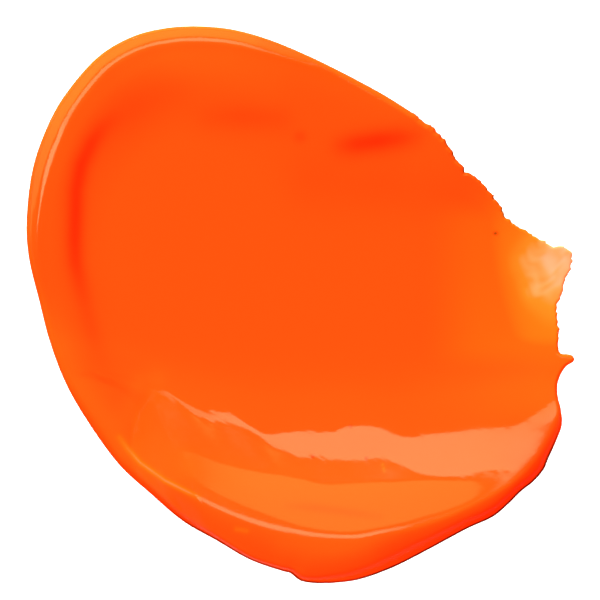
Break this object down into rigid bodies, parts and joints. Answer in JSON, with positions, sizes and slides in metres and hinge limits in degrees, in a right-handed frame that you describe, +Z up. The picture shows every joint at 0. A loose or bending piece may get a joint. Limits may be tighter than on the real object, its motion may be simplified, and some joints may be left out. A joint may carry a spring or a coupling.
{
  "type": "paint smear",
  "caption": "Flat smear of thick glossy orange paint, banked up along the front, with a low rounded rim at the left and back and a torn thin film at the right.",
  "frame": {"origin": "middle of the smear's outline seen from above, on its flat underside", "axes": "+X to the right, towards the thin torn film; +Y to the back; +Z up, out of the surface that the paint lies on"},
  "size_m": [0.0658, 0.0668, 0.0043],
  "materials": {
    "paint": "wet gloss"
  },
  "bodies": {
    "root": {"paint_smear": "paint"}
  },
  "joints": []
}
